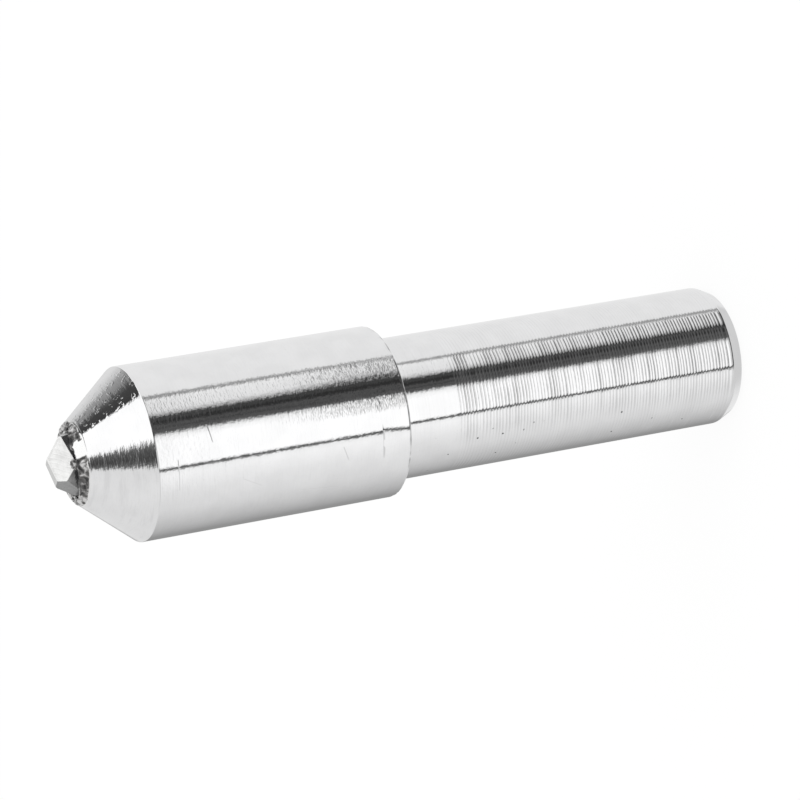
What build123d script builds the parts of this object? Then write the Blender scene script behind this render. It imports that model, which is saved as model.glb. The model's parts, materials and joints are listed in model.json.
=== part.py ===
# Single-point diamond wheel dresser: a turned steel holder with a ground nose cone,
# a natural diamond crystal in its drilled pocket, and the braze that holds it there.
# Millimetres. The flat tail face lies on z = 0 and the diamond points up, along +Z.
import os
from math import cos, radians, sin, tan

from build123d import *

# Holder
shank_diameter = 9.9
shank_length = 26.7
tail_bevel_length = 0.85
tail_bevel_depth = 0.4
shoulder_radius = 0.2
head_diameter = 12.0
head_length = 18.4
nose_included_angle = 78.6
nose_edge_radius = 0.06
nose_wall = 0.62

# Pocket, drilled up the axis to take the diamond and its braze
braze_wall = 0.1
pocket_floor_space = 0.5
drill_point_angle = 118
setting_clearance = 0.01
edge_tolerance = 0.0001

# Diamond facets: azimuth from the -Y side towards +X, and the tilt of the facet's normal from +Z
facet_angles = {
    "face": (0, 46),
    "summit": (-90, 13),
    "lower_flank": (-68, 62),
    "lower_cheek": (-31, 89),
    "upper_cheek": (16, 89),
    "upper_back": (124, 49),
    "lower_back": (-158, 42),
    "low_side": (-125, 64),
    "low_corner": (-150, 84),
    "top_side": (82, 84),
    "top_corner": (132, 86),
    "rear": (180, 86),
    "root_front": (-8, 130),
    "root_top": (75, 130),
    "root_rear": (165, 130),
    "root_low": (-98, 130),
}
# and how far each lies from the stone's centre, which is level with the nose's end
facet_distances = {
    "face": 1.336,
    "summit": 1.765,
    "lower_flank": 1.671,
    "lower_cheek": 1.3,
    "upper_cheek": 1.417,
    "upper_back": 1.64,
    "lower_back": 1.72,
    "low_side": 1.95,
    "low_corner": 1.94,
    "top_side": 2.12,
    "top_corner": 1.9,
    "rear": 1.75,
    "root_front": 1.36,
    "root_top": 1.6,
    "root_rear": 1.5,
    "root_low": 1.6,
}

# Braze collar: it carries the nose cone on, sunk a little, up to the crystal's flanks
collar_height = 0.53
collar_slope_angle = 5
collar_slope_azimuth = -170
collar_sink = 0.1
dish_rim_radius = 2.2
dish_floor_radius = 0.9
dish_slope_angle = 16

# Lumps where the braze froze, and the flat where the wheel that ground the cone touched it
lump_count = 8
lump_radius = 0.46
lump_inset = 0.68
lump_height = 0.26
lump_wander = 0.07
ground_flat_azimuth = 20.5
ground_flat_depth = 0.03
ground_flat_width = 1.3


def facing(azimuth, tilt):
    """Unit vector at a tilt from +Z, turned from the -Y side towards +X."""
    turn, lean = radians(azimuth), radians(tilt)
    return Vector(sin(lean) * sin(turn), -sin(lean) * cos(turn), cos(lean))


def cut_behind(solid, azimuth, tilt, distance, centre):
    """Keep what lies behind a plane at that distance from the centre."""
    normal = facing(azimuth, tilt)
    plane = Plane(origin=Vector(*centre) + normal * distance, z_dir=normal)
    return split(solid, bisect_by=plane, keep=Keep.BOTTOM)


def diamond():
    """Natural crystal: a blank cut back to one facet after another round its centre."""
    side = 5 * max(facet_distances.values())
    blank = Box(side, side, side)
    for facet, (azimuth, tilt) in facet_angles.items():
        blank = cut_behind(blank, azimuth, tilt, facet_distances[facet], (0, 0, 0))
    return blank.solid()


# What follows from those sizes
crystal = diamond()
girdle_radius = max(Vector(corner.X, corner.Y, 0).length for corner in crystal.vertices())
pocket_radius = girdle_radius + braze_wall
nose_radius = pocket_radius + nose_wall
head_radius = head_diameter / 2
shank_radius = shank_diameter / 2
nose_half_angle = nose_included_angle / 2
cone_length = (head_radius - nose_radius) / tan(radians(nose_half_angle))
head_end = shank_length + head_length
nose_end = head_end + cone_length


def circle_at(solid, height, radius):
    """The round edge of that radius at that height."""
    rings = solid.edges().filter_by(GeomType.CIRCLE)
    return [e for e in rings if abs(e.arc_center.Z - height) < edge_tolerance
            and abs(e.radius - radius) < edge_tolerance]


def pocket(stone, clearance=0.0):
    """Drilled hole under the stone: straight wall and the drill's own point."""
    radius = pocket_radius - clearance
    floor = stone.bounding_box().min.Z - pocket_floor_space + clearance
    point = floor - radius / tan(radians(drill_point_angle / 2))
    outline = Polyline((0, nose_end), (radius, nose_end), (radius, floor), (0, point), close=True)
    return revolve(Plane.XZ * make_face(outline), Axis.Z)


def holder(stone):
    """Shank, head and nose cone, turned in one piece, with the pocket drilled in the nose."""
    outline = Polyline(
        (0, 0),
        (shank_radius - tail_bevel_depth, 0),
        (shank_radius, tail_bevel_length),
        (shank_radius, shank_length),
        (head_radius, shank_length),
        (head_radius, head_end),
        (nose_radius, nose_end),
        (0, nose_end),
        close=True,
    )
    body = revolve(Plane.XZ * make_face(outline), Axis.Z)
    body = fillet(circle_at(body, shank_length, shank_radius), shoulder_radius)
    body = fillet(circle_at(body, head_end, head_radius), nose_edge_radius)
    return (body - pocket(stone)).solid()


def collar():
    """Braze above the nose's end: the cone carried on, with lumps and a sloping top."""
    cone_reach = (nose_radius - collar_sink) / tan(radians(nose_half_angle))
    outline = Polyline((0, 0), (nose_radius - collar_sink, 0), (0, cone_reach), close=True)
    braze = revolve(Plane.XZ * make_face(outline), Axis.Z)
    for index in range(lump_count):
        swing = sin(index * 2.4)
        place = facing((index + 0.3 * swing) * 360 / lump_count, 90) * (nose_radius - lump_inset)
        height = lump_height + lump_wander * cos(index * 1.7)
        braze += Pos(place.X, place.Y, height) * Sphere(lump_radius + lump_wander * swing)
    braze = cut_behind(braze, collar_slope_azimuth, collar_slope_angle, 0, (0, 0, collar_height))
    braze = cut_behind(braze, 0, 180, 0, (0, 0, 0))
    return Pos(0, 0, nose_end) * (braze - dish() - ground_flat())


def dish():
    """Hollow in the collar's top, where the braze shrank away from the stone's flanks."""
    top = Plane(origin=(0, 0, collar_height), z_dir=facing(collar_slope_azimuth, collar_slope_angle))
    depth = (dish_rim_radius - dish_floor_radius) * tan(radians(dish_slope_angle))
    down = (Align.CENTER, Align.CENTER, Align.MAX)
    return top * Cone(dish_floor_radius, dish_rim_radius, depth, align=down)


def ground_flat():
    """What grinding took off one side of the collar: a slab along the cone's slope."""
    slope = facing(ground_flat_azimuth, 90 - nose_half_angle)
    rim = facing(ground_flat_azimuth, 90) * nose_radius
    along = Vector(0, 0, 1).cross(slope)
    plane = Plane(origin=rim - slope * ground_flat_depth, x_dir=along, z_dir=slope)
    reach = 2 * nose_radius
    return plane * Box(ground_flat_width, reach, reach, align=(Align.CENTER, Align.CENTER, Align.MIN))


def setting(stone):
    """Braze: the fill round the buried half of the stone and the collar round the rest."""
    braze = pocket(stone, setting_clearance) + collar() - stone
    return braze.solid()


os.makedirs("parts", exist_ok=True)
stone = Pos(0, 0, nose_end) * crystal
export_step(holder(stone), "parts/holder.step")
export_step(setting(stone), "parts/setting.step")
export_step(stone, "parts/diamond.step")
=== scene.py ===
import json
import math
import bpy
import bmesh
import numpy as np
from mathutils import Matrix, Vector, noise


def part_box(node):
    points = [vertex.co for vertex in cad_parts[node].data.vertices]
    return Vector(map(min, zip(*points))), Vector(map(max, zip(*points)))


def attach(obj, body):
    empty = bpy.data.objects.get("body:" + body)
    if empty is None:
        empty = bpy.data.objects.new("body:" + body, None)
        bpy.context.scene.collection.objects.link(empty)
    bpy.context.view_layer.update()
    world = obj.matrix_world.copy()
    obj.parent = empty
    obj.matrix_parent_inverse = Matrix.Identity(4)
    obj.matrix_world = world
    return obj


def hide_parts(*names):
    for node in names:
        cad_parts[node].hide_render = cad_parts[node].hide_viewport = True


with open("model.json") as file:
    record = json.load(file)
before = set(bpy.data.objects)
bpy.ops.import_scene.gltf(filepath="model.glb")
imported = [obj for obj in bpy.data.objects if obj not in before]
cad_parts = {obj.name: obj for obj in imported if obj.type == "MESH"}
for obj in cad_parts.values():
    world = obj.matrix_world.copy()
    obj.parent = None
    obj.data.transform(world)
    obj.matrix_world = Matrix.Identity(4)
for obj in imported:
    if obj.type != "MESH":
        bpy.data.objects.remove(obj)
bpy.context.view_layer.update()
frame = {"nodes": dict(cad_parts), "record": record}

# Everything is in metres and the tool stands on its tail, diamond up.
# A bearing is counted round the tool's axis from -Y, the camera's side, towards +X.

mm = 0.001
rng = np.random.default_rng(11)


def grey(level):
    # light of a grey level from 0 to 255, as the render shows it
    return (level / 255) ** 2.2


class Wire:
    # a shader socket that takes part in sums: each operator adds its Math node
    def __init__(self, tree, socket=None):
        self.tree = tree
        self.socket = socket

    def node(self, kind, settings=None, sockets=None, out=0):
        made = self.tree.nodes.new(kind)
        for name, value in (settings or {}).items():
            if name == "stops":
                fillRamp(made.color_ramp, value)
            else:
                setattr(made, name, value)
        for name, value in (sockets or {}).items():
            if isinstance(value, Wire):
                self.tree.links.new(value.socket, made.inputs[name])
            else:
                made.inputs[name].default_value = value
        return Wire(self.tree, made.outputs[out] if made.outputs else None)

    def other(self, name):
        # another output of the same node
        return Wire(self.tree, self.socket.node.outputs[name])

    def math(self, operation, *values):
        return self.node("ShaderNodeMath", {"operation": operation}, dict(enumerate(values)))

    def __add__(self, other):
        return self.math("ADD", self, other)

    def __sub__(self, other):
        return self.math("SUBTRACT", self, other)

    def __rsub__(self, other):
        return self.math("SUBTRACT", other, self)

    def __mul__(self, other):
        return self.math("MULTIPLY", self, other)

    def __truediv__(self, other):
        return self.math("DIVIDE", self, other)

    __radd__ = __add__
    __rmul__ = __mul__

    def clamp(self, low, high):
        return self.math("MINIMUM", self.math("MAXIMUM", self, low), high)

    def step(self, start, end):
        # 0 before start and 1 after end, eased between them
        ranges = {"Value": self, "From Min": start, "From Max": end, "To Min": 0.0, "To Max": 1.0}
        return self.node("ShaderNodeMapRange", {"interpolation_type": "SMOOTHSTEP"}, ranges)

    def ramp(self, stops):
        return self.node("ShaderNodeValToRGB", {"stops": stops}, {"Fac": self})

    def mix(self, other, factor):
        # two numbers, from self to other
        return self.node("ShaderNodeMix", {"data_type": "FLOAT"}, {0: factor, 2: self, 3: other})

    def colour(self, first, second, factor):
        # from the first colour to the second
        return self.node("ShaderNodeMix", {"data_type": "RGBA"}, {0: factor, 6: first, 7: second}, out=2)


def fillRamp(ramp, stops):
    while len(ramp.elements) < len(stops):
        ramp.elements.new(1.0)
    for element, (place, value) in zip(ramp.elements, stops):
        element.position = place
        element.color = (*value, 1) if isinstance(value, tuple) else (value, value, value, 1)


def newMaterial(name):
    material = bpy.data.materials.new(name)
    material.use_nodes = True
    material.node_tree.nodes.clear()
    return material, Wire(material.node_tree)


def principled(start, sockets):
    shader = start.node("ShaderNodeBsdfPrincipled", {}, sockets)
    start.node("ShaderNodeOutputMaterial", {}, {"Surface": shader})


def newObject(name, data):
    made = bpy.data.objects.new(name, data)
    bpy.context.scene.collection.objects.link(made)
    return made


# camera and studio

view = {
    "aim": (0.00051, 0, 0.02468),
    "distance": 0.25144,
    "bearing": -0.127,
    "elevation": 23.402,
    "roll": -99.71,
    "lens": 162.6,
    "sensor": 36,
    "clip": 0.01,
}

floorPaper = {"half": 3.0, "matt": (0.93, 0.93, 0.93, 1), "white": (1, 1, 1, 1), "shine": 0.9}

windowLamp = {"size": 0.5, "energy": 1.5, "place": (0.35, -0.25, 0.7)}

# Soft bands that polished metal mirrors: (bearing of the light, grey level), low for the
# upright walls of the tool and high for its cone. The dark ones are narrow studio flags.
bands = {
    "low": [
        (-180, 200), (-171, 136), (-150, 142), (-124, 178), (-104, 198), (-87, 212), (-60, 225),
        (-37, 242), (-30.4, 238), (-29, 88), (-26.4, 88), (-25, 255), (9, 255), (15, 242), (18, 200),
        (19.8, 115), (22, 68), (24.5, 88), (27, 58), (30, 84), (33, 52), (36, 44), (39, 68), (42, 54),
        (46.5, 185), (51, 222), (69, 232), (72, 150), (74.5, 150), (77.5, 225), (168, 225), (180, 200),
    ],
    "high": [
        (-180, 216), (-137, 214), (-60, 220), (-33, 216), (-30, 100), (-18, 62), (0, 75), (10, 105),
        (16, 255), (89, 255), (91, 58), (108, 68), (115, 92), (119, 130), (133, 152), (138, 192),
        (150, 210), (180, 216),
    ],
    "split": (-8, 6),  # lift between low and high
    "behind": ((-132, -92), (140, 174)),  # the far side, between its two borders
    "behindRise": 10,  # low bands end that much lower there, so that the cone's edge stays light
    # shift of a low band for each degree up: shaded side, lit side, beyond the dark band
    "level": -23,
    "slant": (0.05, 0.45, 0.65),
    "slantSteps": ((-12, 22), (44, 54)),
    "slantReach": 18,
    # and of a high band: lit side, the dark band's edge, above it
    "coneLevel": 60,
    "coneFall": 0.00245,  # how the cone's mirror lowers from its level, by bearing squared
    "coneSlant": (1.7, 0.3, 1.5),
    "coneSteps": ((40, 60), (97, 110)),
    # light that streaks on the cone pick up: share, grey level, tilt, where it ends
    "coneVeil": (0.30, 215, (1.5, 7), (10, 20)),
    # the steep sides of ridges go dim from a tilt on: shaded side, lit side, beyond the dark band
    "ripple": (2.5, 8.5),
    "rippleDepth": (0.24, 0.46, 0.78),
    "rippleSteps": ((-95, -50), (-32, -20), (42, 50), (70, 78)),
    # inside the dark band they get lighter: share, grey level, span
    "rippleLift": (0.6, 108, (18, 22), (41, 46)),
    # a flag near the floor, that only rounded edges find
    "edge": 70,
    "edgeTop": (-40, -34),
    "edgeSpan": ((-40, -26), (84, 92)),
    # below everything, in front of the tool and behind it
    "under": (202, 226),
    "underTop": ((-56, -51), (-38, -28)),
    "gain": 1.13,  # what steel keeps back
}


def makeCamera():
    turn, lift = math.radians(view["bearing"]), math.radians(view["elevation"])
    back = Vector((math.cos(lift) * math.sin(turn), -math.cos(lift) * math.cos(turn), math.sin(lift)))
    camera = newObject("camera", bpy.data.cameras.new("camera"))
    camera.data.lens = view["lens"]
    camera.data.sensor_width = view["sensor"]
    camera.data.clip_start = view["clip"]
    pose = back.to_track_quat("Z", "Y").to_matrix() @ Matrix.Rotation(math.radians(view["roll"]), 3, "Z")
    camera.matrix_world = Matrix.Translation(Vector(view["aim"]) + back * view["distance"]) @ pose.to_4x4()
    bpy.context.scene.camera = camera


def bandsAt(bearing, stops):
    # light of the bands at a bearing
    places = [((angle + 180) / 360, grey(level)) for angle, level in stops]
    return ((bearing + 180) / 360).clamp(0, 1).ramp(places)


def between(value, first, last):
    return value.step(*first) * (1 - value.step(*last))


def bearingOf(axes):
    return axes.math("ARCTAN2", axes.other("X"), axes.other("Y") * -1) * (180 / math.pi)


def makeWorld():
    world = bpy.data.worlds.new("studio")
    world.use_nodes = True
    bpy.context.scene.world = world
    world.node_tree.nodes.clear()
    start = Wire(world.node_tree)
    axes = start.node("ShaderNodeSeparateXYZ", {}, {0: start.node("ShaderNodeTexCoord")})
    bearing = bearingOf(axes)
    height = start.math("ARCSINE", axes.other("Z")) * (180 / math.pi)
    leftOf, rightOf = bands["behind"]
    behind = 1 - bearing.step(*leftOf) + bearing.step(*rightOf)
    reach = bands["slantReach"]
    # low bands, for the walls
    tilt = (height - bands["level"]).clamp(-reach, reach)
    shaded, lit, top = bands["slant"]
    toLit, toTop = bands["slantSteps"]
    low = bandsAt(bearing + tilt * (shaded + bearing.step(*toLit) * (lit - shaded)
                                    + bearing.step(*toTop) * (top - lit)), bands["low"])
    # high bands, for the cone
    coneTilt = (height - bands["coneLevel"] + bearing * bearing * bands["coneFall"]).clamp(-reach, reach)
    lit, dark, top = bands["coneSlant"]
    toDark, toTop = bands["coneSteps"]
    high = bandsAt(bearing + coneTilt * (lit + bearing.step(*toDark) * (dark - lit)
                                         + bearing.step(*toTop) * (top - dark)), bands["high"])
    share, level, tilted, end = bands["coneVeil"]
    veil = start.math("ABSOLUTE", coneTilt).step(*tilted) * (1 - bearing.step(*end)) * share
    high = high.mix(grey(level), veil)
    # the steep sides of ridges find darker light
    shaded, lit, top = bands["rippleDepth"]
    toShaded, toLit, toTop, end = bands["rippleSteps"]
    depth = (bearing.step(*toShaded) * shaded + bearing.step(*toLit) * (lit - shaded)
             + bearing.step(*toTop) * (top - lit)) * (1 - bearing.step(*end))
    side = start.math("ABSOLUTE", tilt).step(*bands["ripple"])
    share, level, left, right = bands["rippleLift"]
    dimmed = (low * (1 - depth * side)).mix(grey(level), side * between(bearing, left, right) * share)
    mirrored = dimmed.mix(high, (height + behind * bands["behindRise"]).step(*bands["split"]))
    # flag for the edges, then what lies below everything
    edge = (1 - height.step(*bands["edgeTop"])) * between(bearing, *bands["edgeSpan"])
    mirrored = mirrored.mix(grey(bands["edge"]), edge)
    frontTop, rearTop = bands["underTop"]
    under = start.math("MAXIMUM", 1 - height.step(*frontTop), behind * (1 - height.step(*rearTop)))
    front, rear = [grey(level) for level in bands["under"]]
    mirrored = mirrored.mix(behind * (rear - front) + front, under) * bands["gain"]
    glossy = start.node("ShaderNodeLightPath").other("Is Glossy Ray")
    seen = start.colour((1, 1, 1, 1), mirrored, glossy)
    background = start.node("ShaderNodeBackground", {}, {"Color": seen, "Strength": 1.0})
    start.node("ShaderNodeOutputWorld", {}, {"Surface": background})


def makeFloor():
    half = floorPaper["half"]
    corners = [(-half, -half, 0), (half, -half, 0), (half, half, 0), (-half, half, 0)]
    mesh = bpy.data.meshes.new("floor")
    mesh.from_pydata(corners, [], [(0, 1, 2, 3)])
    floor = newObject("floor", mesh)
    paper, start = newMaterial("floorPaper")
    rays = start.node("ShaderNodeLightPath")
    seen = rays.other("Is Camera Ray") + rays.other("Is Glossy Ray") + rays.other("Is Transmission Ray")
    shine = seen.clamp(0, 1) * floorPaper["shine"]
    matt = start.node("ShaderNodeBsdfDiffuse", {}, {"Color": floorPaper["matt"]})
    white = start.node("ShaderNodeEmission", {}, {"Color": floorPaper["white"], "Strength": 1.0})
    both = start.node("ShaderNodeMixShader", {}, {0: shine, 1: matt, 2: white})
    start.node("ShaderNodeOutputMaterial", {}, {"Surface": both})
    mesh.materials.append(paper)
    floor.visible_glossy = False


def makeLamp():
    lamp = bpy.data.lights.new("window", "AREA")
    lamp.size = windowLamp["size"]
    lamp.energy = windowLamp["energy"]
    window = newObject("window", lamp)
    place = Vector(windowLamp["place"])
    window.matrix_world = Matrix.Translation(place) @ place.to_track_quat("Z", "Y").to_matrix().to_4x4()
    window.visible_glossy = False


makeCamera()
makeWorld()
makeFloor()
makeLamp()
bpy.context.scene.view_settings.view_transform = "Standard"
print("studio: camera, light and floor are set")


# what the CAD pieces say of the outline

def cadPoints(node):
    mesh = frame["nodes"][node].data
    points = np.empty(len(mesh.vertices) * 3)
    mesh.vertices.foreach_get("co", points)
    return points.reshape(-1, 3)


def radiusAt(node, height, pick=max):
    points = cadPoints(node)
    near = points[np.abs(points[:, 2] - height) < hair]
    return pick(np.hypot(near[:, 0], near[:, 1]))


hair = 0.01 * mm  # what counts as the same place
mounts = {mount["name"]: mount for mount in frame["record"]["mounts"]}
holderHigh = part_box("holder")[1]
holderPoints = cadPoints("holder")
holderRadii = np.hypot(holderPoints[:, 0], holderPoints[:, 1])

shankRadius = mounts["shank"]["dims"]["r_mm"] * mm
shankMiddle = mounts["shank"]["pos_m"][2]
shankHalf = mounts["shank"]["dims"]["length_mm"] * mm / 2
bevelTop, filletStart = shankMiddle - shankHalf, shankMiddle + shankHalf
shoulder = mounts["shoulder"]["pos_m"][2]
headRadius = holderHigh.x
headEnd = holderPoints[holderRadii > headRadius - hair / 2][:, 2].max()
noseEnd = holderHigh.z
noseRadius = radiusAt("holder", noseEnd)
pocketRadius = radiusAt("holder", noseEnd, min)
tailRadius = radiusAt("holder", 0)
coneSlope = (headRadius - noseRadius) / (noseEnd - headEnd)
pocketPoint = holderPoints[holderRadii < hair][:, 2].max()
pocketFloor = holderPoints[np.abs(holderRadii - pocketRadius) < hair][:, 2].min()
noseCentre = np.array([0, 0, noseEnd])
print("outline: shank %.2f, head %.2f, nose %.2f mm" % (shankRadius / mm, headRadius / mm, noseRadius / mm))


def newPiece(name, vertices, faces, material):
    mesh = bpy.data.meshes.new(name)
    mesh.from_pydata(vertices, [], faces)
    mesh.update()
    piece = newObject(name, mesh)
    mesh.materials.append(material)
    mesh.shade_smooth()
    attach(piece, "root")
    return piece


def pointValues(piece, name, values):
    made = piece.data.attributes.new(name, "FLOAT", "POINT")
    made.data.foreach_set("value", values)


def turnedFaces(ringCount, segments):
    # a closed skin over rings of vertices, with a pole before the first and after the last
    def at(ring, segment):
        return 1 + ring * segments + segment % segments

    last = 1 + ringCount * segments
    faces = [(0, at(0, s + 1), at(0, s)) for s in range(segments)]
    for ring in range(ringCount - 1):
        above = ring + 1
        faces += [(at(ring, s), at(ring, s + 1), at(above, s + 1), at(above, s)) for s in range(segments)]
    faces += [(last, at(ringCount - 1, s), at(ringCount - 1, s + 1)) for s in range(segments)]
    return faces


def noiseRound(bearings, size, level):
    # uneven from -1 to 1 along a ring, with no seam
    return np.array([noise.noise(Vector((math.cos(b) * size, math.sin(b) * size, level))) for b in bearings])


# holder: turned from bar

turning = {
    "segments": 144,
    "edgeRound": 0.03 * mm,
    "edgeGuard": 2.2,  # plain ring on each side of a rounded edge
    "edgeMargin": 0.12 * mm,  # no turned rings nearer to an edge
    "tailRounds": 3,  # the tail's edge and the head's rear edge, in small rounds
    "rearRounds": 2.2,
    "smoothAngle": 24,
    # shank: a ridge's outline as share of its pitch and depth, and how uneven the ridges are
    "ridgePitch": 0.243 * mm,
    "ridgeDepth": 0.0045 * mm,
    "ridgeForm": ((0, 0), (0.54, 0), (0.65, 0.5), (0.77, 1), (0.89, 0.5)),
    "ridgeStart": 7,  # in small rounds above the bevel
    "pitchSpread": (0.83, 1.17),
    "depthSpread": (0.4, 1.7),
    "depthCarry": 0.3,  # what a ridge keeps of the last one's depth
    "wear": (3.5, 1.1 * mm, 0.5),  # patches in which ridges deepen or fade: number, length, share
    "plainLength": 4.2 * mm,  # fine finish next to the shoulder
    "plainPitch": 0.1 * mm,
    "plainDepth": 0.0012 * mm,
    # pitch and depth of the turned rings elsewhere
    "tailFace": (0.2 * mm, 0.004 * mm),
    "tailMargin": 0.15 * mm,
    "bevelShares": (0.2, 0.4, 0.6, 0.8),
    "bevelWave": 0.0015 * mm,
    "filletAngles": (0, 22, 45, 68, 90),
    "filletReach": 1.6,
    "shoulderFace": (0.14 * mm, 0.003 * mm),
    "head": (0.2 * mm, 0.0006 * mm),
    "cone": (0.12 * mm, 0.001 * mm),
    # burr that the cutter left along the head's rear edge: height, reach along and inward
    "burr": (0.05 * mm, 0.09 * mm, 0.06 * mm),
    "burrNoise": ((9, 3.1), (31, 7.7)),
    "burrForm": (0.5, 0.9, 0.7),  # middle, ragged and fine share
    # where the head was gripped: bearing, reach round, length, depth
    "dent": (-21, 15, 2.1 * mm, 0.022 * mm),
    "dentRings": (-0.01 * mm, 0.03 * mm),
    # painted shade in the ridges' grooves, and a painted dark line under the burr with how ragged it is
    "grooveDirt": 0.04,
    "rimDirt": 0.75,
    "rimForm": (0.4, 1.1, 0.9),
}
ridgeStart = bevelTop + turning["ridgeStart"] * turning["edgeRound"]


def shankRings():
    # one cutter ridge after another, each a little uneven in pitch and depth
    rings = []
    z = ridgeStart
    depth = turning["ridgeDepth"]
    carry = turning["depthCarry"]
    while z < filletStart - turning["plainLength"]:
        pitch = turning["ridgePitch"] * rng.uniform(*turning["pitchSpread"])
        depth = carry * depth + (1 - carry) * turning["ridgeDepth"] * rng.uniform(*turning["depthSpread"])
        for share, sink in turning["ridgeForm"]:
            rings.append((shankRadius - sink * depth, z + share * pitch))
        z += pitch
    for z in np.arange(z, filletStart - hair, turning["plainPitch"]):
        rings.append((shankRadius - abs(rng.normal(0, turning["plainDepth"])), z))
    return rings


def edgeRings(before, after, corner, rounds=1):
    # a small round where two stretches of the outline meet
    corner, before, after = np.array(corner), np.array(before), np.array(after)
    size = rounds * turning["edgeRound"]
    start = corner + (before - corner) / np.linalg.norm(before - corner) * size
    end = corner + (after - corner) / np.linalg.norm(after - corner) * size
    middle = (start + end + 2 * corner) / 4
    guard = [corner + (point - corner) * turning["edgeGuard"] for point in (start, end)]
    return [tuple(point) for point in (guard[0], start, middle, end, guard[1])]


def tailRings():
    pitch, depth = turning["tailFace"]
    margin = turning["tailMargin"]
    rings = [(r, depth * rng.uniform(0, 1)) for r in np.arange(margin, tailRadius - margin, pitch)]
    bevelStart, bevelEnd = (tailRadius, 0), (shankRadius, bevelTop)
    rings += edgeRings((0, 0), bevelEnd, bevelStart)
    for share in turning["bevelShares"]:
        wave = rng.uniform(-turning["bevelWave"], turning["bevelWave"])
        rings.append((tailRadius + (shankRadius - tailRadius) * share + wave, bevelTop * share))
    return rings + edgeRings(bevelStart, (shankRadius, shoulder), bevelEnd, turning["tailRounds"])


def shoulderRings():
    fillet = shoulder - filletStart
    rings = [(shankRadius + fillet * (1 - math.cos(angle)), filletStart + fillet * math.sin(angle))
             for angle in np.radians(turning["filletAngles"])]
    pitch, depth = turning["shoulderFace"]
    first = shankRadius + turning["filletReach"] * fillet
    rings += [(r, shoulder - rng.uniform(0, 1) * depth)
              for r in np.arange(first, headRadius - turning["edgeMargin"], pitch)]
    before, after = (0, shoulder), (headRadius, headEnd)
    return rings + edgeRings(before, after, (headRadius, shoulder), turning["rearRounds"])


def headRings():
    pitch, depth = turning["head"]
    dentEnd = shoulder + turning["dent"][2]
    places = np.append(np.arange(shoulder + turning["tailMargin"], headEnd - turning["edgeMargin"], pitch),
                       [dentEnd + step for step in turning["dentRings"]])
    rings = [(headRadius - depth * rng.uniform(0, 1), z) for z in np.sort(places)]
    return rings + edgeRings((headRadius, shoulder), (noseRadius, noseEnd), (headRadius, headEnd))


def coneRings():
    pitch, depth = turning["cone"]
    margin = turning["edgeMargin"]
    rings = [(noseRadius + (noseEnd - z) * coneSlope - depth * rng.uniform(0, 1), z)
             for z in np.arange(headEnd + margin, noseEnd - margin, pitch)]
    rings += edgeRings((headRadius, headEnd), (pocketRadius, noseEnd), (noseRadius, noseEnd))
    return rings + [(pocketRadius, noseEnd), (pocketRadius, pocketFloor)]


def makeHolder(material):
    segments = turning["segments"]
    outline = np.array(tailRings() + shankRings() + shoulderRings() + headRings() + coneRings())
    bearings = np.linspace(0, 2 * np.pi, segments, endpoint=False)
    r, z = outline[:, :1].repeat(segments, 1), outline[:, 1:].repeat(segments, 1)
    # the ridges deepen and fade round the shank
    patches, length, share = turning["wear"]
    wear = np.array([[noise.noise(Vector((math.sin(b) * patches, math.cos(b) * patches, height / length)))
                      for b in bearings] for height in outline[:, 1]])
    ridged = (z >= ridgeStart) & (z < filletStart)
    r = np.where(ridged, shankRadius - (shankRadius - r) * (1 + share * wear), r)
    burr, along, inward = turning["burr"]
    edge = np.exp(-((z - shoulder) / along) ** 2) * (r > headRadius - inward)
    ragged, fine = [noiseRound(bearings, size, level) for size, level in turning["burrNoise"]]
    middle, raggedShare, fineShare = turning["burrForm"]
    r = r - edge * burr * (middle + raggedShare * ragged + fineShare * fine).clip(0, 2)
    bearing, reach, length, depth = turning["dent"]
    away = (np.degrees(bearings) - bearing + 180) % 360 - 180
    dip = np.cos(np.radians(np.clip(away / reach, -1, 1) * 90)) ** 2
    share = (z - shoulder) / length
    r = r - dip * depth * (1.5 * share - 0.5) * (z > shoulder) * (share < 1)  # a lip first, then deeper
    rows = np.stack([r * np.sin(bearings), -r * np.cos(bearings), z], -1).reshape(-1, 3)
    vertices = [(0, 0, 0)] + rows.tolist() + [(0, 0, pocketPoint)]
    faces = turnedFaces(len(outline), segments)
    piece = newPiece("turned_holder", vertices, faces, material)
    # painted shade: darker in the ridges' grooves, the deeper the darker, and a painted dark line under the
    # burr
    dirt = np.clip((shankRadius - r) / turning["ridgeDepth"], 0, 1.5) * ridged * turning["grooveDirt"]
    middle, raggedShare, fineShare = turning["rimForm"]
    rim = np.clip(middle + raggedShare * ragged + fineShare * fine, 0, 1)
    dirt = dirt + edge * rim * turning["rimDirt"]
    pointValues(piece, "dirt", np.concatenate([[0], dirt.reshape(-1), [0]]))
    piece.data.set_sharp_from_angle(angle=math.radians(turning["smoothAngle"]))
    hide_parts("holder")
    return piece


def turnedCoordinates(start, around, along):
    # object space stretched so that noise runs round the axis in fine streaks
    place = start.node("ShaderNodeTexCoord", out=3)
    return start.node("ShaderNodeMapping", {}, {"Vector": place, "Scale": (around, around, along)})


def noiseAt(start, place, scale, detail, roughness=0.5):
    sockets = {"Vector": place, "Scale": scale, "Detail": detail, "Roughness": roughness}
    return start.node("ShaderNodeTexNoise", {}, sockets)


def attributeOf(start, name):
    return start.node("ShaderNodeAttribute", {"attribute_name": name}, out=2)


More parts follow.
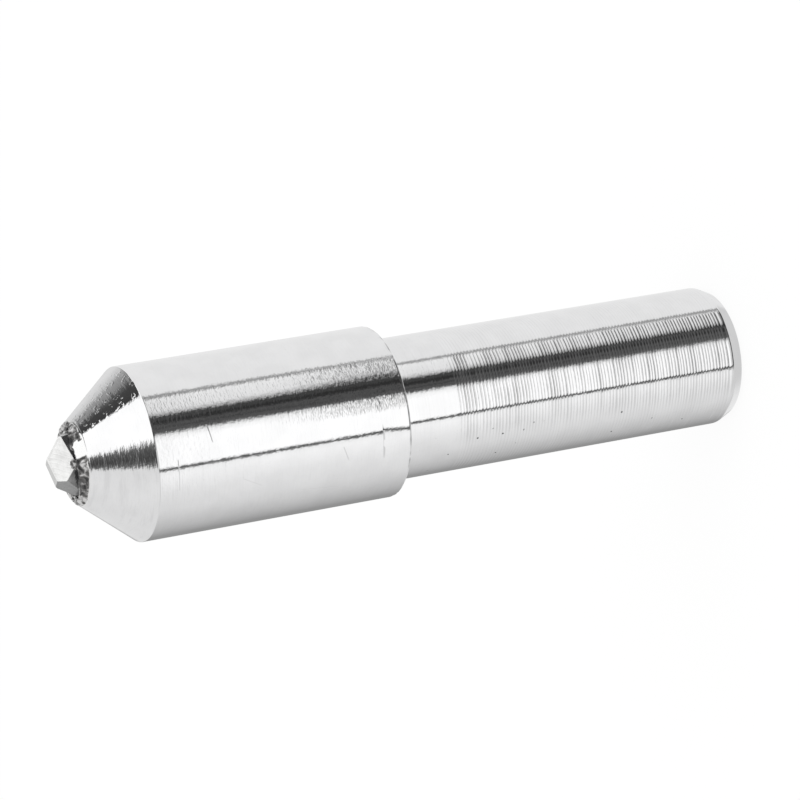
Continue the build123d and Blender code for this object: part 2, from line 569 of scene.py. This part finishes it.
# Steps, starts, ends and spans are pairs, eased between the two. Bearings are in degrees.
steel = {
    "colour": (0.9, 0.9, 0.905, 1),
    "dull": ((0.88, 0.88, 0.885, 1), (0.45, 0.75)),
    "pit": (0.2, 0.2, 0.2, 1),
    "cloud": (1.8 * mm, (0.3, 0.7), 0.045),  # size, steps, share
    "shade": 0.965,
    "brushed": (0.08, (0.45, 0.75), (-10, 0)),  # dark streaks of the cone: share, steps, where they end
    "roughness": (0.04, 0.03, (0.4, 0.8)),  # least, and what streaks add
    "coneStart": (headEnd - 0.03 * mm, headEnd + 0.03 * mm),
    "shankEnd": (shoulder - 4.4 * mm, shoulder - 3.8 * mm),  # where its plain finish starts
    # streaks: scale round, scale along, height
    "streaks": ((420, 3200, 0.0052 * mm), (900, 15000, 0.0010 * mm)),
    "shankCalm": 0.55,  # what streaks lose on the shank
    "litStreaks": 0.45,  # what is left of them on the head's lit side
    "litStart": (-17, -10),
    "ripple": (3800, 0.0036 * mm),
    "blotch": (2300, 6500, 0.0065 * mm),
    "blotchSpan": ((6, 13), (38, 44)),
    "coneStreaks": ((520, 9500, 0.0045 * mm), (420, 3300, 0.012 * mm)),
    "coneFlank": (0.85, (20, 34), 0.5, (44, 52)),  # streaks lose a share, then get some of it back
    "coneSpeckle": (3400, (0.58, 0.7), (37.5, 41), 0.0065 * mm),
    # scuffs next to the head's rear edge, where it was gripped: strength and span
    "scuffs": ((1.3, (-3, 4), (9, 14)), (1, (21, 28), (35, 44))),
    "scuffHeights": ((shoulder - 0.1 * mm, shoulder), (shoulder + 1.5 * mm, shoulder + 12 * mm)),
    # their lines: lean, scale along, scale across, depth
    "hatch": ((0.45, 1.3, 7, 0.018 * mm), (-0.6, 1.2, 6, 0.016 * mm)),
    # pits: spacing, how uneven their edge is, radius as share of the spacing, which cells have one
    "pitSpacing": 0.42 * mm,
    "pitEdge": (9000, 0.2),
    "pitSize": (0.10, 0.22),
    "pitChance": (0.95, 0.96),
    "pitEnds": ((-36, -26), (shoulder - 3 * mm, shoulder - 2 * mm)),  # by bearing and by height
    "pitZone": (0.17, (14.5 * mm, 17 * mm), (21 * mm, 22.5 * mm), (-56, -48)),  # here there are more
    "pitDepth": 0.02 * mm,
    "scratchDepth": 0.006 * mm,
    # handling scratches: bearing, height, their lengths round and along, width
    "scratches": [
        (-24, 31.6, 1.1, 0.4, 0.018), (-19, 43.7, 2.4, 0.0, 0.016), (-33, 38.4, 0.9, 1.6, 0.014),
        (4, 41.2, 1.3, 0.2, 0.016), (-48, 33.4, 0.4, 3.4, 0.014), (150, 36, 1.0, 5.0, 0.02),
        (118, 12, 0.3, 4.1, 0.02), (-140, 20, 0.6, 3.0, 0.02),
    ],
}
degreeArc = math.radians(1) * headRadius / mm  # along the head's surface, in mm


def scratchAt(start, bearing, z, scratch):
    # a thin groove between two points, measured along the surface
    turn, high, around, along, width = scratch
    length = math.hypot(around, along)
    x = bearing * degreeArc - turn * degreeArc
    y = z / mm - high
    run = (x * (around / length) + y * (along / length)) / (length / 2)
    off = start.math("ABSOLUTE", x * (along / length) - y * (around / length))
    return (1 - off.step(0, width * 2)) * (1 - start.math("ABSOLUTE", run).step(0.7, 1))


def makeSteel():
    material, start = newMaterial("turnedSteel")
    place = start.node("ShaderNodeTexCoord", out=3)
    axes = start.node("ShaderNodeSeparateXYZ", {}, {0: place})
    bearing = bearingOf(axes)
    z = axes.other("Z")
    onCone = z.step(*steel["coneStart"])
    onShank = 1 - z.step(*steel["shankEnd"])
    lit = bearing.step(*steel["litStart"]) * (1 - onShank)
    kept = 1 - onShank * steel["shankCalm"] - lit * (1 - steel["litStreaks"])
    height = 0
    streaks = []
    for around, along, depth in steel["streaks"]:
        streaks.append(noiseAt(start, turnedCoordinates(start, around, along), 1.0, 2.5, 0.55))
        height += streaks[-1] * depth * kept
    scale, depth = steel["ripple"]
    height += noiseAt(start, place, scale, 2.0) * depth
    around, along, depth = steel["blotch"]
    blotched = between(bearing, *steel["blotchSpan"]) * (1 - onShank) * (1 - onCone)
    height += noiseAt(start, turnedCoordinates(start, around, along), 1.0, 2.0, 0.6) * blotched * depth
    loss, flank, gain, beyond = steel["coneFlank"]
    kept = (1 - bearing.step(*flank) * loss + bearing.step(*beyond) * gain) * onCone
    for around, along, depth in steel["coneStreaks"]:
        coneStreaks = noiseAt(start, turnedCoordinates(start, around, along), 1.0, 3.0, 0.6)
        height += coneStreaks * kept * depth
    scale, steps, first, depth = steel["coneSpeckle"]
    height += noiseAt(start, place, scale, 1.0).step(*steps) * onCone * bearing.step(*first) * depth
    scuffed = between(z, *steel["scuffHeights"]) * sum(
        between(bearing, first, last) * strength for strength, first, last in steel["scuffs"])
    sheet = start.node("ShaderNodeCombineXYZ", {}, {0: bearing * degreeArc, 1: z / mm})
    for lean, along, across, depth in steel["hatch"]:
        turned = start.node("ShaderNodeMapping", {}, {
            "Vector": sheet, "Rotation": (0, 0, lean), "Scale": (along, across, 1)})
        height += noiseAt(start, turned, 1.0, 2.0, 0.6) * scuffed * depth
    # scattered pits
    cells = start.node("ShaderNodeTexVoronoi", {}, {"Vector": place, "Scale": 1 / steel["pitSpacing"]})
    chosen = start.node("ShaderNodeSeparateColor", {}, {0: cells.other("Color")})
    more, low, high, first = steel["pitZone"]
    chosen += between(z, low, high) * bearing.step(*first) * more
    scale, share = steel["pitEdge"]
    reach = cells + noiseAt(start, place, scale, 1.0) * share - share / 2
    lastBearing, lastHeight = steel["pitEnds"]
    pitted = ((1 - reach.step(*steel["pitSize"])) * chosen.step(*steel["pitChance"])
              * (1 - bearing.step(*lastBearing)) * (1 - z.step(*lastHeight)))
    scratched = sum(scratchAt(start, bearing, z, scratch) for scratch in steel["scratches"])
    height = height - pitted * steel["pitDepth"] - scratched * steel["scratchDepth"]
    bump = start.node("ShaderNodeBump", {}, {"Height": height / mm, "Strength": 1.0, "Distance": mm})
    dull, steps = steel["dull"]
    tint = start.colour(steel["colour"], dull, streaks[1].step(*steps))
    size, steps, clouded = steel["cloud"]
    cloud = noiseAt(start, place, 1 / size, 2.0).step(*steps)
    share, steps, last = steel["brushed"]
    brushed = coneStreaks.step(*steps) * onCone * (1 - bearing.step(*last))
    # painted shade of the shank's grooves and of the head's burr, taken off the colour
    dirt = attributeOf(start, "dirt")
    shade = cloud * clouded + steel["shade"] - dirt - brushed * share
    tint = start.node("ShaderNodeVectorMath", {"operation": "SCALE"}, {0: tint, 3: shade})
    tint = start.colour(tint, steel["pit"], pitted)
    least, more, steps = steel["roughness"]
    roughness = streaks[0].step(*steps) * more + least
    principled(start, {
        "Base Color": tint, "Metallic": 1.0, "Roughness": roughness, "Normal": bump})
    return material


makeHolder(makeSteel())
print("holder: turned, ridged and finished")


# diamond: its facets, read as planes round the point where the axis leaves the nose

def stonePlanes():
    planes = {}
    for polygon in frame["nodes"]["diamond"].data.polygons:
        normal = np.array(polygon.normal)
        planes[tuple(normal.round(2))] = (normal, normal @ (np.array(polygon.center) - noseCentre))
    normals, distances = zip(*planes.values())
    return np.array(normals), np.array(distances)


facetNormals, facetDistances = stonePlanes()


def stoneReach(directions):
    # how far the stone goes from its centre in each direction
    across = directions @ facetNormals.T
    return np.where(across > 1e-6, facetDistances / np.maximum(across, 1e-6), 1).min(-1)


def stoneGap(points):
    # how far points are outside the stone, less than 0 inside it
    return ((points - noseCentre) @ facetNormals.T - facetDistances).max(-1)


stone = {
    "edgeRound": 0.035 * mm,
    "grain": 0.055 * mm,  # longest mesh edge
    "smoothAngle": 14,
    "hillocks": (0.45 * mm, 0.012 * mm),  # size, height
    "steps": (0.34 * mm, 0.009 * mm),  # growth lines: spacing, depth
    "stepWander": (1.3 * mm, 0.5),
    "growth": ((0.3, 0.9, 0.2), 7.3),  # lines run along this direction, and shift from facet to facet
    "margin": 0.12 * mm,  # relief fades out there along a facet's edges
    "plainTone": 0.3,
    # painted light and shade by facet direction, partly also the facets' own frost and lustre
    "tones": [  # bearing and lift of a facet's normal, grey level
        (0, 44, 0.76), (-90, 77, 0.42), (-68, 28, 0.145), (-31, 1, 0.25), (16, 1, 0.03),
    ],
    # painted shade round its root, in the gap along the braze: how high over the nose's end, by bearing
    "root": [(-180, 0.15), (-70, 0.2), (-50, 0.45), (-20, 0.5), (0, 0.5), (60, 0.3), (180, 0.15)],
    "rootWander": (0.35 * mm, 0.12 * mm),
    "rootFade": 0.07 * mm,
    "rootTone": 0.12,  # what is left of a facet's tone in the painted shade
    # the crystal's colours at the two ends of its painted light and shade: dark and light
    "colours": ((0.02, 0.02, 0.022, 1), (1, 1, 0.99, 1)),
    "cloud": (0.9 * mm, 0.4),  # size, share
    "veins": ((1800, 5200, 1400), (0.4, 0.3, 0.2), 0.3),  # scale, turn, share
    "roughness": (0.12, 0.2),
    "relief": 0.01 * mm,
}


def facetFrames():
    # a direction along each facet and a shift, for its growth lines
    direction, shift = stone["growth"]
    frames = []
    for index, normal in enumerate(facetNormals):
        along = np.cross(normal, direction)
        frames.append((along / np.linalg.norm(along), index * shift))
    return frames


def pointing(bearing, lift):
    turn, lift = math.radians(bearing), math.radians(lift)
    return math.sin(turn) * math.cos(lift), -math.cos(turn) * math.cos(lift), math.sin(lift)


def facetShadedTones():
    # a facet has the painted light and shade of the direction that its normal lies near, or else the plain
    # shaded tone
    match = facetNormals @ np.array([pointing(bearing, lift) for bearing, lift, _ in stone["tones"]]).T
    return [stone["tones"][row.argmax()][2] if row.max() > 0.97 else stone["plainTone"] for row in match]


def makeDiamond(material):
    shape = bmesh.new()
    shape.from_mesh(frame["nodes"]["diamond"].data)
    bmesh.ops.remove_doubles(shape, verts=shape.verts, dist=1e-7)
    bmesh.ops.dissolve_limit(shape, angle_limit=math.radians(0.5), verts=shape.verts, edges=shape.edges)
    sharp = [edge for edge in shape.edges if edge.calc_face_angle(0) > math.radians(2)]
    bmesh.ops.bevel(shape, geom=sharp, offset=stone["edgeRound"], segments=2, profile=0.6, affect="EDGES")
    bmesh.ops.triangulate(shape, faces=shape.faces)
    while rough := [edge for edge in shape.edges if edge.calc_length() > stone["grain"]]:
        bmesh.ops.subdivide_edges(shape, edges=rough, cuts=1, use_single_edge=True)
        bmesh.ops.triangulate(shape, faces=shape.faces)
    frames = facetFrames()
    facetShadedTone = facetShadedTones()
    hillSize, hillHeight = stone["hillocks"]
    spacing, stepDepth = stone["steps"]
    wanderSize, wander = stone["stepWander"]
    rootSize, rootWander = stone["rootWander"]
    rootAngles, rootHeights = zip(*stone["root"])
    tones = []
    for vertex in shape.verts:
        point = np.array(vertex.co)
        depths = facetDistances - facetNormals @ (point - noseCentre)
        facet, second = np.argsort(depths)[:2]
        inward = min(1.0, (depths[second] - depths[facet]) / stone["margin"])
        along, shift = frames[facet]
        line = (point @ along) / spacing + wander * noise.noise(vertex.co / wanderSize) + shift
        step = abs(line % 1 - 0.5) * 2
        hill = noise.noise(Vector(vertex.co / hillSize) + Vector((shift, 0, 0)))
        sink = hillHeight * (0.5 + hill) + stepDepth * min(1, step * 3)
        vertex.co -= Vector(facetNormals[facet] * sink * inward)
        # painted shade at the stone's root, where it sits in the gap along the braze
        root = np.interp(math.degrees(math.atan2(point[0], -point[1])), rootAngles, rootHeights) * mm
        root += rootWander * noise.noise(vertex.co / rootSize)
        bare = min(1, max(stone["rootTone"], (point[2] - noseEnd - root) / stone["rootFade"]))
        tones.append(facetShadedTone[facet] * bare)
    vertices = [tuple(vertex.co) for vertex in shape.verts]
    shape.verts.index_update()
    faces = []
    for face in shape.faces:
        corners = [vertex.index for vertex in face.verts]
        lead = corners.index(min(corners))
        faces.append((*corners[lead:], *corners[:lead]))
    shape.free()
    # triangulating lists the faces in any order, sorted they come out the same each run
    piece = newPiece("diamond_crystal", vertices, sorted(faces), material)
    pointValues(piece, "tone", tones)
    piece.data.set_sharp_from_angle(angle=math.radians(stone["smoothAngle"]))
    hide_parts("diamond")
    return piece


def makeCrystal():
    material, start = newMaterial("cloudyDiamond")
    place = start.node("ShaderNodeTexCoord", out=3)
    # the facets' painted light and shade, and the painted shade round the stone's root
    tone = attributeOf(start, "tone")
    size, clouded = stone["cloud"]
    cloud = noiseAt(start, place, 1 / size, 4.0, 0.6)
    scale, turn, veined = stone["veins"]
    stretched = start.node("ShaderNodeMapping", {}, {"Vector": place, "Rotation": turn, "Scale": scale})
    veins = noiseAt(start, stretched, 1.0, 3.0, 0.6)
    level = (tone * (cloud * clouded + (1 - clouded / 2)) * (veins * veined + (1 - veined / 2))).clamp(0, 1)
    tint = start.colour(*stone["colours"], level)
    bump = start.node("ShaderNodeBump", {}, {"Height": veins, "Strength": 0.5, "Distance": stone["relief"]})
    least, more = stone["roughness"]
    principled(start, {
        "Base Color": tint, "Roughness": cloud * more + least, "IOR": 2.0, "Coat Weight": 0.4,
        "Coat Roughness": 0.06, "Normal": bump})
    return material


makeDiamond(makeCrystal())
print("diamond: facets rounded, hillocks and growth lines")


# setting: braze, frozen in lumps round the stone

braze = {
    "segments": 300,
    "outerRings": 26,
    "topRings": 40,
    "seatRings": 22,
    "clearance": 0.01 * mm,
    # height of the collar's crest over the nose's end, by bearing
    "crest": [
        (-180, 0.34), (-140, 0.30), (-112, 0.24), (-100, 0.30), (-88, 0.40), (-72, 0.48), (-58, 0.52),
        (-38, 0.60), (-11, 0.65), (3, 0.66), (14, 0.68), (25, 0.71), (31, 0.82), (40, 0.74), (52, 0.64),
        (70, 0.43), (90, 0.28), (130, 0.30), (180, 0.34),
    ],
    "lap": (5, 0.06 * mm, 0.10 * mm),  # reach over the rim: its waves, middle, spread
    "dish": math.tan(math.radians(15)),
    "topEnd": 0.62,  # share of the crest's radius within which the top meets the stone
    "topSpread": 0.9,  # under 1 the rings of the top lie closer together at the stone
    "gutter": (0.27 * mm, 0.62 * mm),  # width and depth of the gap along the stone
    # lumps: bearing, radius, height of the lump, spread
    "lumps": [
        (54, 2.64, 0.08, 0.14), (49, 2.43, 0.06, 0.13), (93, 2.14, 0.06, 0.14), (59, 2.81, 0.05, 0.14),
        (-1, 2.63, 0.08, 0.15), (-9, 2.50, 0.07, 0.12), (-2, 2.81, 0.06, 0.2), (-18, 2.66, 0.08, 0.16),
        (-32, 2.67, 0.07, 0.14), (-78, 2.60, 0.07, 0.18), (-101, 2.11, 0.06, 0.16), (-58, 2.77, 0.07, 0.18),
    ],
    "waves": ((0.70 * mm, 0.07 * mm), (0.38 * mm, 0.05 * mm)),  # size, height
    "grains": (0.46 * mm, 0.022 * mm, 0.09 * mm),  # size and height of a frozen grain, width of its border
    "grainWander": 0.35,
    "grainDome": 2.2,
    "calmRings": (5, 4),  # rings at the skin's foot and at the stone that keep more to their place
    "sunk": 0.004 * mm,  # and sink by this instead
    # ground flush with the cone below a height: waves round the foot, how much they matter, its edge
    "foot": (0.13 * mm, 6, 0.5, 0.06 * mm),
    "flat": (20.5, 0.045 * mm, 1.30 * mm, 0.05 * mm),  # ground on the collar: bearing, depth, width, edge
    "flatCorner": (0.15 * mm, 0.50 * mm, 0.73 * mm, 0.36 * mm),  # where its upper corner stays rough
    # streaks of flux soot: width and points, by bearing and radius
    "streaks": [
        (0.24, (52, 2.20), (43, 2.42), (35, 2.47)), (0.12, (56, 2.49), (51, 2.56)), (0.15, (37, 2.77)),
        (0.18, (4, 2.52), (-4, 2.42)), (0.14, (6, 2.69), (0, 2.55)), (0.11, (-5, 2.58), (-12, 2.64)),
        (0.17, (-14, 2.36), (-24, 2.38), (-33, 2.41), (-39, 2.46)), (0.11, (-23, 2.70), (-27, 2.78)),
        (0.12, (-36, 2.72), (-40, 2.73)), (0.08, (-50, 2.62), (-56, 2.56)),
        (0.11, (-73, 2.36), (-84, 2.24)), (0.09, (-71, 2.87)), (0.08, (-112, 2.5), (-119, 2.65)),
    ],
    "streakDark": 0.8,
    # how far the painted shade of the gap reaches from the stone, by bearing, and rows up to the rim that
    # have less of it
    "sootReach": [(-180, 0.23), (-60, 0.23), (-50, 0.5), (-17, 0.5), (-7, 0.23), (180, 0.23)],
    "sootRim": (8, 0.02 * mm),
    # grime all over by bearing, more along the borders of grains and in hollows
    "grime": [
        (-180, 0.22), (-110, 0.12), (-62, 0.15), (-50, 0.2), (-41, 0.4), (-24, 0.4), (-13, 0.28), (-8, 0.26),
        (4, 0.16), (16, 0.26), (45, 0.28), (80, 0.28), (120, 0.26), (180, 0.22),
    ],
    "grimeEdges": 0.25,
    "grimeDepth": 0.3 * mm,
    "bead": ((-0.04, -1.56, 0.50), (0.38, 0.34, 0.26), 0.10, 46),  # place, size, unevenness, lean
    "beadSoot": (0.4, 0.7, 0.2 * mm),
    # the metal's look: as cast, then darker and darkest for grime, soot and the painted shade of the gap
    # along the stone
    "colours": ((0.74, 0.735, 0.73, 1), (0.16, 0.157, 0.154, 1), (0.015, 0.015, 0.016, 1)),
    "groundColour": (0.88, 0.88, 0.875, 1),
    "dirtSteps": ((0.05, 0.5), (0.42, 0.85)),
    "speckle": (0.3 * mm, 0.9),
    "roughness": (0.06, 0.1, 0.23, 0.2),  # ground flat, speckle, as cast, soot and painted shade
    "relief": (0.09 * mm, 0.01 * mm),
}
ringBearings = np.linspace(0, 2 * np.pi, braze["segments"], endpoint=False)


def byBearing(places):
    # a value at each bearing of a ring, from a few places
    angles, values = zip(*places)
    return np.interp((np.degrees(ringBearings) + 180) % 360 - 180, angles, values)


def ringAt(r, z):
    # radius and height are each a number, or one for each bearing
    r, z = r + 0 * ringBearings, z + 0 * ringBearings
    return np.stack([r * np.sin(ringBearings), -r * np.cos(ringBearings), z], -1)


crest = byBearing(braze["crest"]) * mm
crestRadius = noseRadius - coneSlope * crest


def topAt(r):
    # the collar's top is a dish, with a gap along the stone
    height = crest - (crestRadius - r) * braze["dish"]
    gap = stoneGap(ringAt(r, noseEnd + height))
    width, depth = braze["gutter"]
    height = height - depth * np.exp(-(np.maximum(gap, 0) / width) ** 2) * (gap < 3 * width)
    return ringAt(r, noseEnd + height)


def brazeSkin():
    # where the top meets the stone
    meeting = np.zeros(braze["segments"])
    for share in np.linspace(0, 1, 220):
        r = crestRadius * (1 - share * braze["topEnd"])
        meeting = np.where((stoneGap(topAt(r)) < 0) & (meeting == 0), r, meeting)
    # up the cone's slope from a little way over the rim, then the top
    waves, middle, spread = braze["lap"]
    lap = middle + spread * noiseRound(ringBearings, waves, 1.7)
    rows = []
    for share in np.linspace(0, 1, braze["outerRings"]):
        z = -lap + (crest + lap) * share
        rows.append(ringAt(noseRadius - coneSlope * z, noseEnd + z))
    for share in np.linspace(0, 1, braze["topRings"])[1:] ** braze["topSpread"]:
        rows.append(topAt(crestRadius + (meeting - crestRadius) * share))
    skin = np.array(rows)
    for _ in range(3):  # round the crest
        skin[1:-1] = (skin[:-2] + 2 * skin[1:-1] + skin[2:]) / 4
    return skin


def outwardFrom(skin):
    outward = np.cross(np.roll(skin, -1, 1) - np.roll(skin, 1, 1), np.gradient(skin, axis=0))
    outward /= np.linalg.norm(outward, axis=-1, keepdims=True)
    low = braze["calmRings"][0]
    return -outward if (outward[low] * skin[low] * (1, 1, 0)).sum() < 0 else outward


def brazeWave(point):
    return sum(height * noise.noise(Vector(point) / size + Vector((size * 9000, 0, 0)))
               for size, height in braze["waves"])


def brazeGrain(point):
    # dome of the grain that a point lies in, and how near its border is
    size, _, border = braze["grains"]
    place = Vector(point) / size
    wander = Vector([noise.noise(2 * place + Vector((0, 0, shift))) for shift in (0, 17.3, 41.9)])
    (first, second, *_), _ = noise.voronoi(place + braze["grainWander"] * wander)
    return 1 - braze["grainDome"] * first ** 2, math.exp(-((second - first) * size / border) ** 2)


def pushAt(skin, domes, foot, edge):
    # how far waves, grains and lumps lift the skin
    push = np.array([[brazeWave(point) for point in row] for row in skin])
    push += domes * braze["grains"][1]
    for bearing, radius, height, spread in braze["lumps"]:
        x, y = radius * mm * math.sin(math.radians(bearing)), radius * mm * math.cos(math.radians(bearing))
        away = np.hypot(skin[..., 0] - x, skin[..., 1] + y)
        push += height * mm * np.exp(-(away / (spread * mm)) ** 2)
    low, high = braze["calmRings"]
    calm = np.ones(len(skin))
    calm[:low] = np.linspace(0, 1, low)
    calm[-high:] = np.linspace(1, 0, high)
    calm = calm[:, None] * np.clip((skin[..., 2] - noseEnd - foot) / edge + 1, 0.02, 1)
    return push * calm - braze["sunk"] * (1 - calm)


def groundFlat(skin):
    # the skin with the flat left by the wheel that ground the cone, and where that flat is
    bearing, depth, width, edge = braze["flat"]
    turn, run = math.radians(bearing), math.hypot(1, coneSlope)
    side = np.array([math.sin(turn), -math.cos(turn), 0])
    normal = (side + np.array([0, 0, coneSlope])) / run
    over = (skin - noseCentre) @ normal - (noseRadius * side @ normal - depth)
    across = skin @ np.cross((0, 0, 1), side)
    up = (skin - noseCentre - noseRadius * side) @ (np.array([0, 0, 1]) - coneSlope * side) / run
    cut = np.clip((width / 2 - np.abs(across)) / edge, 0, 1) * (skin @ side > 0)
    sideways, sidewaysReach, upward, upwardReach = braze["flatCorner"]
    cut *= (across - sideways) / sidewaysReach + (up - upward) / upwardReach < 1
    return skin - normal * (np.maximum(over, 0) * cut)[..., None], (over > 0) * cut


def seatRows(edge):
    # from the skin's inner edge, along the stone and under it
    start = np.arctan2(edge[:, 2] - noseEnd, np.hypot(edge[:, 0], edge[:, 1]))
    rows = []
    for share in np.linspace(0, 1, braze["seatRings"] + 2)[1:-1]:
        lift = start + (-math.pi / 2 - start) * share
        way = ringAt(np.cos(lift), np.sin(lift))
        rows.append(way * stoneReach(way)[:, None] + noseCentre)
    return rows


def plugRows():
    # down the pocket
    clearance = braze["clearance"]
    wall = pocketRadius - clearance
    return [ringAt(r, z) for r, z in (
        (wall * 0.3, pocketPoint + (pocketFloor - pocketPoint) * 0.3 + clearance),
        (wall, pocketFloor + clearance), (wall, (pocketFloor + noseEnd) / 2), (wall, noseEnd),
        ((wall + noseRadius) / 2, noseEnd), (noseRadius - 0.03 * mm, noseEnd))]


def streaked(level, rows):
    # soot with the streaks added
    for width, *points in braze["streaks"]:
        corners = [np.array([math.sin(math.radians(b)), -math.cos(math.radians(b))]) * r * mm
                   for b, r in points]
        for first, last in zip(corners, corners[1:] or corners):
            along = last - first
            share = np.clip((rows[..., :2] - first) @ along / max(along @ along, 1e-12), 0, 1)
            away = np.linalg.norm(rows[..., :2] - first - share[..., None] * along, axis=-1)
            level = np.maximum(level, braze["streakDark"] * np.exp(-(away / (width * mm)) ** 2))
    return level


def makeSetting(material):
    height, waves, share, edge = braze["foot"]
    foot = height * (1 + share * np.array([noise.noise(Vector((b * waves, 3.3, 0))) for b in ringBearings]))
    skin = brazeSkin()
    grains = np.array([[brazeGrain(point) for point in row] for row in skin])
    push = pushAt(skin, grains[..., 0], foot, edge)
    skin, flat = groundFlat(skin + outwardFrom(skin) * push[..., None])
    plug = plugRows()
    rows = np.concatenate([np.array(plug), skin, np.array(seatRows(skin[-1]))])
    onSkin = slice(len(plug), len(plug) + len(skin))
    low = (0, 0, pocketPoint + braze["clearance"])
    high = (0, 0, noseEnd - stoneReach(np.array([0, 0, -1.0])))
    vertices = [low] + rows.reshape(-1, 3).tolist() + [high]
    faces = turnedFaces(len(rows), braze["segments"])
    piece = newPiece("braze_setting", vertices, faces, material)
    # painted shade in the gap along the stone, then grime and soot streaks
    rim, more = braze["sootRim"]
    gap = np.maximum(stoneGap(rows), 0) + more * (np.arange(len(rows))[:, None] < rim)
    soot = np.exp(-(gap / (byBearing(braze["sootReach"]) * mm)) ** 2)
    grime = byBearing(braze["grime"]) + grains[..., 1] * braze["grimeEdges"] - push / braze["grimeDepth"]
    soot[onSkin] = np.maximum(soot[onSkin], grime)
    soot = streaked(soot, rows)
    ground = np.zeros(soot.shape)
    below = np.clip((noseEnd + foot - skin[..., 2]) / (edge / 2), 0, 1)
    ground[onSkin] = np.maximum(flat, below)
    for name, values in (("soot", soot), ("ground", ground)):
        pointValues(piece, name, np.concatenate([[0], values.reshape(-1), [values[-1].mean()]]))
    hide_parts("setting")
    return piece


def makeBead(material):
    # braze that crept over the corner of the stone's face
    place, size, wave, lean = braze["bead"]
    shape = bmesh.new()
    bmesh.ops.create_icosphere(shape, subdivisions=5, radius=1)
    for vertex in shape.verts:
        uneven = 1 + wave * 3 * noise.noise(vertex.co * 1.7) + wave * noise.noise(vertex.co * 4.1)
        vertex.co = Vector([c * s * uneven * mm for c, s in zip(vertex.co, size)])
    shape.transform(Matrix.Translation(Vector(place) * mm + Vector(noseCentre))
                    @ Matrix.Rotation(math.radians(lean), 4, "X"))
    vertices = [tuple(vertex.co) for vertex in shape.verts]
    faces = [tuple(vertex.index for vertex in face.verts) for face in shape.faces]
    shape.free()
    piece = newPiece("braze_bead", vertices, faces, material)
    middle, spread, size = braze["beadSoot"]
    soot = [middle + spread * noise.noise(vertex.co / size) for vertex in piece.data.vertices]
    pointValues(piece, "soot", soot)
    return piece


def makeSilver():
    material, start = newMaterial("silverBraze")
    place = start.node("ShaderNodeTexCoord", out=3)
    soot = attributeOf(start, "soot")
    ground = attributeOf(start, "ground")
    size, share = braze["speckle"]
    speckle = noiseAt(start, place, 1 / size, 3.0, 0.6)
    # soot, grime and the painted shade of the gap along the stone darken the metal
    darkening = soot + (speckle - 0.5) * share
    bare, darker, darkest = braze["colours"]
    darkerSteps, darkestSteps = braze["dirtSteps"]
    dark = darkening.step(*darkestSteps) * (1 - ground)
    tint = start.colour(bare, darker, darkening.step(*darkerSteps))
    tint = start.colour(tint, braze["groundColour"], ground)
    tint = start.colour(tint, darkest, dark)
    least, speckled, cast, darkRoughness = braze["roughness"]
    size, depth = braze["relief"]
    bump = start.node("ShaderNodeBump", {}, {
        "Height": noiseAt(start, place, 1 / size, 2.0) * (1 - ground * 0.9), "Strength": 0.5,
        "Distance": depth})
    principled(start, {
        "Base Color": tint, "Metallic": 1 - dark * 0.8,
        "Roughness": (1 - ground) * cast + dark * darkRoughness + speckle * speckled + least, "Normal": bump})
    return material


silver = makeSilver()
makeSetting(silver)
makeBead(silver)
print("setting: braze lumped round the stone")
